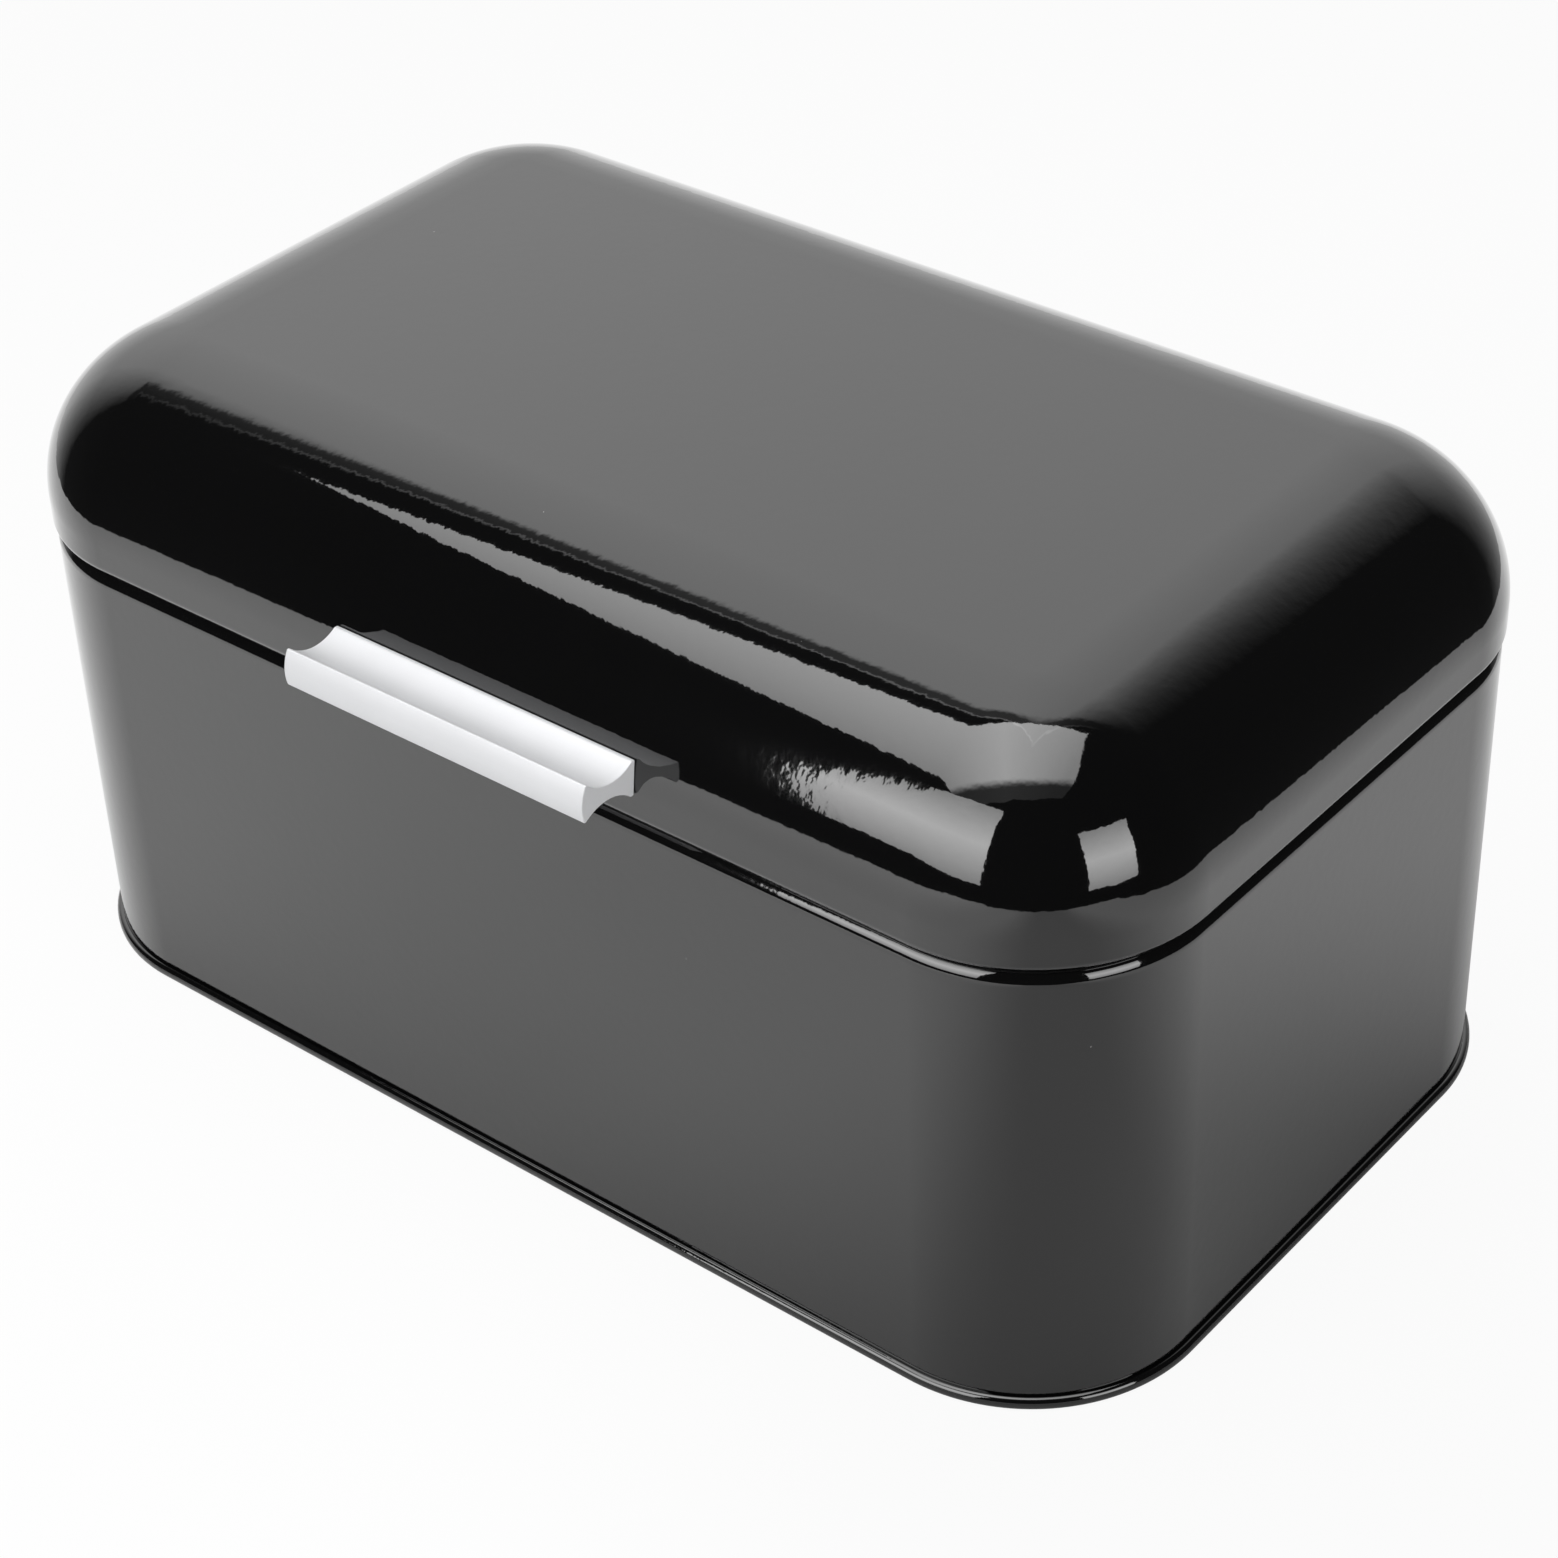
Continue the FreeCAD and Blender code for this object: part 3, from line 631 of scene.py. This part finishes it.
def aluminium_material():
    """Pale satin aluminium, with faint drawing lines along the bar, a fine grain and matt sawn ends."""
    material, graph, shader, place = new_material("satin_aluminium")
    stretched = graph.vector("MULTIPLY", place, DRAWN_SCALES).outputs[0]
    lines = graph.noise(stretched, 1.0, detail=2.0, roughness=0.6)
    grain = graph.noise(place, GRAIN_SCALE, detail=2.0, roughness=0.6)
    cloud = graph.noise(place, SATIN_CLOUD_SCALE, detail=2.0, roughness=0.5)
    facing = graph.node("SeparateXYZ", Vector=graph.node("TexCoord").outputs["Normal"]).outputs["X"]
    sawn = graph.ramp(graph.maths("ABSOLUTE", facing), *SAWN_FACING, 0, 1)
    satin = graph.mix(cloud, SATIN_DARK, SATIN_LIGHT)
    graph.feed(shader.inputs["Base Color"], graph.mix(sawn, satin, SAWN_COLOUR))
    drawn = graph.ramp(lines, *NOISE_RANGE, *SATIN_ROUGHNESS)
    graph.feed(shader.inputs["Roughness"], graph.ramp(sawn, 0, 1, drawn, SAWN_ROUGHNESS))
    graph.feed(shader.inputs["Metallic"], graph.ramp(sawn, 0, 1, SATIN_METALLIC, 0))
    drawn_lines = graph.relief(lines, DRAWN_DEPTH)
    graph.feed(shader.inputs["Normal"], graph.relief(grain, GRAIN_DEPTH, drawn_lines))
    return material


def steel_material():
    """Zinc-plated steel: a bright grey metal with soft clouding and rolling marks."""
    material, graph, shader, place = new_material("plated_steel")
    cloud = graph.noise(place, ZINC_CLOUD_SCALE, detail=3.0, roughness=0.6)
    stretched = graph.vector("MULTIPLY", place, ROLLED_SCALES).outputs[0]
    marks = graph.noise(stretched, 1.0, detail=2.0, roughness=0.6)
    graph.feed(shader.inputs["Base Color"], graph.mix(cloud, ZINC_DARK, ZINC_LIGHT))
    graph.feed(shader.inputs["Roughness"], graph.ramp(cloud, *NOISE_RANGE, *ZINC_ROUGHNESS))
    shader.inputs["Metallic"].default_value = 1.0
    graph.feed(shader.inputs["Normal"], graph.relief(marks, ROLLED_DEPTH))
    return material


def compass(azimuth, elevation):
    """A direction: azimuth 0 is to the front, 90 to the right; elevation is above the horizon."""
    a, e = math.radians(azimuth), math.radians(elevation)
    return Vector((math.sin(a) * math.cos(e), -math.cos(a) * math.cos(e), math.sin(e)))


def height_at(elevation):
    """How high a direction points: the sine of its elevation."""
    return math.sin(math.radians(elevation))


def aim_object(made, spot, azimuth, elevation, turn):
    """Puts a lamp or camera at a spot, with its back to a direction, turned about that direction."""
    back = compass(azimuth, elevation)
    level = compass(azimuth + 90, 0)
    angle = math.radians(turn)
    side = level * math.cos(angle) + back.cross(level) * math.sin(angle)
    axes = Matrix((side, back.cross(side), back)).transposed().to_4x4()
    made.matrix_world = Matrix.Translation(spot) @ axes


def floor_outline(toward, across):
    """The table top's outline, square to the camera, with rounded corners."""
    corners = [
        (FLOOR_RIGHT, FLOOR_FRONT, -90),
        (FLOOR_RIGHT, FLOOR_BACK, 0),
        (FLOOR_LEFT, FLOOR_BACK, 90),
        (FLOOR_LEFT, FLOOR_FRONT, 180),
    ]
    outline = []
    for side, front, start in corners:
        middle_side = side - math.copysign(FLOOR_CORNER, side)
        middle_front = front - math.copysign(FLOOR_CORNER, front)
        for k in range(FLOOR_CORNER_STEPS + 1):
            angle = math.radians(start + 90 * k / FLOOR_CORNER_STEPS)
            s = middle_side + FLOOR_CORNER * math.cos(angle)
            f = middle_front - FLOOR_CORNER * math.sin(angle)
            outline.append(across * s + toward * f)
    return outline


def floor_material(toward, across):
    """The white table top, with painted light far to the left and a painted grey shade toward the camera
    in its colour, which show mainly in mirrors.
    """
    material, graph, shader, place = new_material("white_table")
    along = graph.vector("DOT_PRODUCT", place, tuple(toward)).outputs["Value"]
    aside = graph.vector("DOT_PRODUCT", place, tuple(across)).outputs["Value"]
    # Painted shade: a grey stripe in the table top's colour, from the box toward the camera
    offset = graph.maths("ABSOLUTE", graph.maths("SUBTRACT", aside, SHADE_ACROSS))
    shade = graph.maths(
        "MULTIPLY",
        graph.ramp(offset, SHADE_CORE, SHADE_HALF_WIDTH, 1, 0, "SMOOTHSTEP"),
        graph.ramp(along, SHADE_START, SHADE_FULL, 0, 1, "SMOOTHSTEP"),
    )
    tones = (FLOOR_TONE, FLOOR_LEFT_PAINTED_LIGHT_TONE, PAINTED_SHADE_TONE)
    plain, painted_lighter, shaded = ((tone, tone, tone, 1) for tone in tones)
    # Painted light: the table top is lighter far to the left
    open_floor = graph.mix(graph.ramp(aside, LEFT_FAR, LEFT_NEAR, 1, 0), plain, painted_lighter)
    graph.feed(shader.inputs["Base Color"], graph.mix(shade, open_floor, shaded))
    shader.inputs["Roughness"].default_value = FLOOR_ROUGHNESS
    shader.inputs["Specular IOR Level"].default_value = 0.0
    white = graph.node("Emission", Strength=1.0)
    direct = graph.maths("MULTIPLY", graph.seen(), WHITE_SHARE)
    behind = graph.ramp(along, BEHIND_FAR, BEHIND_NEAR, MIRROR_SHARE_BEHIND, MIRROR_SHARE)
    mirrored = graph.maths("MULTIPLY", graph.node("LightPath").outputs["Is Glossy Ray"], behind)
    blend = graph.node("MixShader", Fac=graph.maths("MAXIMUM", direct, mirrored))
    graph.feed(blend.inputs[1], shader.outputs[0])
    graph.feed(blend.inputs[2], white.outputs[0])
    graph.feed(material.node_tree.nodes["Material Output"].inputs["Surface"], blend.outputs[0])
    return material


def make_floor():
    """The table top that the box stands on."""
    toward = compass(CAMERA_AZIMUTH, 0)
    across = compass(CAMERA_AZIMUTH + 90, 0)
    outline = floor_outline(toward, across)
    mesh = bpy.data.meshes.new("floor")
    mesh.from_pydata(outline, [], [tuple(range(len(outline)))])
    if mesh.polygons[0].normal.z < 0:
        mesh.flip_normals()
    mesh.materials.append(floor_material(toward, across))
    floor = new_object("floor", mesh)


def make_world():
    """A dark room with a white backdrop, by direction. The camera sees near white beyond the table."""
    world = bpy.data.worlds.new("studio")
    bpy.context.scene.world = world
    world.use_nodes = True
    graph = Graph(world.node_tree)
    way = graph.node("TexCoord").outputs["Generated"]
    level = graph.vector("MULTIPLY", way, (1, 1, 0)).outputs["Vector"]
    flat = graph.vector("NORMALIZE", level).outputs["Vector"]

    def facing(azimuth):
        """How far a direction points the way of an azimuth."""
        return graph.vector("DOT_PRODUCT", flat, tuple(compass(azimuth, 0))).outputs["Value"]

    height = graph.node("SeparateXYZ", Vector=way).outputs["Z"]
    left = graph.ramp(facing(BACKDROP_LEFT_AZIMUTH), 0, BACKDROP_LEFT_FADE, 0, 1)
    steep_range = (height_at(BACKDROP_STEEP_LOW), height_at(BACKDROP_STEEP_HIGH))
    steepness = graph.ramp(height, *steep_range, *BACKDROP_STEEPNESS)
    right_fade = graph.ramp(facing(BACKDROP_RIGHT_AZIMUTH), 0, BACKDROP_RIGHT_FADE, 0, 1)
    right = graph.maths("POWER", right_fade, steepness)
    slope = graph.maths("MULTIPLY", facing(BACKDROP_TOP_AZIMUTH), BACKDROP_TOP_FALL)
    above = graph.maths("SUBTRACT", height, slope)
    edge = (BACKDROP_TOP_HEIGHT - BACKDROP_TOP_SOFT, BACKDROP_TOP_HEIGHT + BACKDROP_TOP_SOFT)
    top = graph.ramp(above, *edge, 1, 0, "SMOOTHSTEP")
    over_edge = graph.maths("SUBTRACT", above, BACKDROP_TOP_HEIGHT + RAIL_RISE)
    rail = graph.ramp(graph.maths("ABSOLUTE", over_edge), 0, RAIL_HALF_HEIGHT, RAIL_SHARE, 0)
    rail_back = graph.ramp(over_edge, -RAIL_HALF_HEIGHT, 0, RAIL_BACK_SHARE, 0)
    up_to_rail = graph.maths("MAXIMUM", top, graph.maths("MAXIMUM", rail, rail_back))
    share = graph.maths("MULTIPLY", graph.maths("MULTIPLY", left, right), up_to_rail)
    low, high = height_at(BACKDROP_LOW_ELEVATION), height_at(BACKDROP_HIGH_ELEVATION)
    rising = graph.ramp(height, low, high, BACKDROP_LOW_TONE, BACKDROP_HIGH_TONE)
    bright = (BACKDROP_DIM_FACING, 1, BACKDROP_DIM_SHARE, BACKDROP_BRIGHT_SHARE)
    tone = graph.maths("MULTIPLY", rising, graph.ramp(facing(BACKDROP_BRIGHT_AZIMUTH), *bright))
    studio = graph.ramp(share, 0, 1, ROOM_TONE, tone)
    shade = world.node_tree.nodes["Background"]
    graph.feed(shade.inputs["Color"], (1, 1, 1, 1))
    graph.feed(shade.inputs["Strength"], graph.ramp(graph.seen(), 0, 1, studio, SEEN_TONE))


def soft_box(name, centre, azimuth, elevation, turn, size, tones, across, peak=0.5, fade=None, trim=None):
    """A soft box as an area lamp, brightest along a line across it.

    The tones are what a mirror shows at that line and at the box's edge. A fade is the part of its height
    over which it grows from dim to full. A trim is the slope and the place of a slanted right end.
    """
    lamp = bpy.data.lights.new(name, "AREA")
    lamp.shape = "RECTANGLE"
    lamp.size, lamp.size_y = size
    lamp.energy = math.pi * size[0] * size[1]
    lamp.use_nodes = True
    graph = Graph(lamp.node_tree)
    spot = graph.node("SeparateXYZ", Vector=graph.node("TexCoord").outputs["UV"])
    offset = graph.maths("ABSOLUTE", graph.maths("SUBTRACT", spot.outputs[across], peak))
    strength = graph.ramp(offset, 0, peak, *tones)
    if fade:
        grown = graph.ramp(spot.outputs["Y"], *fade, FADE_TONE, 1, "SMOOTHSTEP")
        strength = graph.maths("MULTIPLY", strength, grown)
    if trim:
        slope, end = trim
        slant = graph.maths("MULTIPLY_ADD", spot.outputs["Y"], slope, spot.outputs["X"])
        kept = graph.ramp(slant, end - TRIM_SOFT, end + TRIM_SOFT, 1, 0)
        strength = graph.maths("MULTIPLY", strength, kept)
    graph.feed(lamp.node_tree.nodes["Emission"].inputs["Strength"], strength)
    aim_object(new_object(name, lamp), centre, azimuth, elevation, turn)


def make_camera():
    """The photo's camera."""
    data = bpy.data.cameras.new("camera")
    data.sensor_width = SENSOR_WIDTH
    data.lens = CAMERA_FOCUS / IMAGE_SIZE * SENSOR_WIDTH
    data.clip_start = CAMERA_NEAR
    data.clip_end = CAMERA_FAR
    aim = compass(CAMERA_AZIMUTH + 90, 0) * CAMERA_AIM_X + Vector((0, 0, CAMERA_AIM_Z))
    spot = (aim + compass(CAMERA_AZIMUTH, CAMERA_ELEVATION) * CAMERA_DISTANCE) * MM
    camera = new_object("camera", data)
    aim_object(camera, spot, CAMERA_AZIMUTH, CAMERA_ELEVATION, CAMERA_ROLL)
    bpy.context.scene.camera = camera


enamel = enamel_material()
aluminium = aluminium_material()
steel = steel_material()

new_pieces = [
    (make_wall(), "box", "body_shell", "gloss_enamel", enamel),
    (make_base(), "box", "base_plate", "gloss_enamel", enamel),
    (make_lid(), "lid", "lid_shell", "gloss_enamel", enamel),
    (make_handle(), "lid", "pull_handle", "satin_aluminium", aluminium),
]
replaced = set()
for piece, body, node_name, slot_name, material in new_pieces:
    piece.data.materials.append(material)
    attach(piece, body)
    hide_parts(node_name)
    replaced.add(node_name)

for node_name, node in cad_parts.items():
    if node_name not in replaced:
        for index in range(len(node.material_slots)):
            node.material_slots[index].material = steel

make_floor()
make_world()
for box_name, box_values in SOFT_BOXES.items():
    soft_box(box_name, **box_values)
make_camera()
bpy.context.scene.view_settings.view_transform = "Standard"
